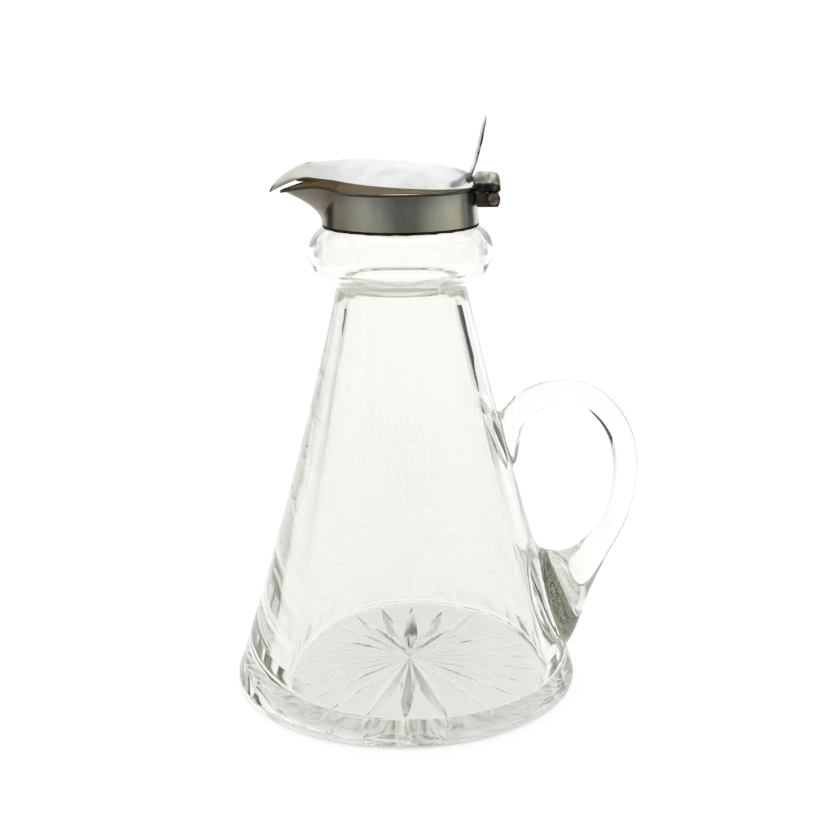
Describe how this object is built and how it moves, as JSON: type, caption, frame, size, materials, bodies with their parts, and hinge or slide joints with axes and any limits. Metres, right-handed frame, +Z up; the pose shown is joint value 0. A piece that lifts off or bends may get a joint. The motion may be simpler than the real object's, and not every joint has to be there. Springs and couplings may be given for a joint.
{
  "type": "glass jug with hinged metal lid",
  "caption": "Clear glass conical jug with a bulb neck, faceted foot, star-cut base and drawn handle, closed by a hinged metal lid with a pouring beak.",
  "frame": {"origin": "on the table plane, under the middle of the whole object's box; the jug's own axis stands at x = -7.25 mm", "axes": "+Z up along the jug's axis, +X towards the handle and the hinge, -X towards the spout"},
  "size_m": [0.095, 0.0804, 0.1317],
  "materials": {
    "lead_glass": "clear polished lead glass with a faint olive tint where it is thick",
    "silver_plate": "polished silver plate, slightly worn",
    "silver_lid": "bright silver plate",
    "brushed_plate": "file-brushed silver plate",
    "tarnished_plate": "dark tarnished plate",
    "pin_metal": "brown worn pin"
  },
  "bodies": {
    "jug": {"glass_body": "lead_glass", "collar": "silver_plate", "hinge_mount": "tarnished_plate", "hinge_pin": "pin_metal"},
    "lid_assembly": {"lid": "silver_lid", "lid_lug": "brushed_plate", "thumb_piece": "silver_lid"}
  },
  "joints": [
    {"name": "lid_hinge", "type": "hinge", "parent": "jug", "child": "lid_assembly", "pos_m": [0.0131, 0, 0.114], "axis": [0, 1, 0], "range_deg": [0, 100]}
  ]
}
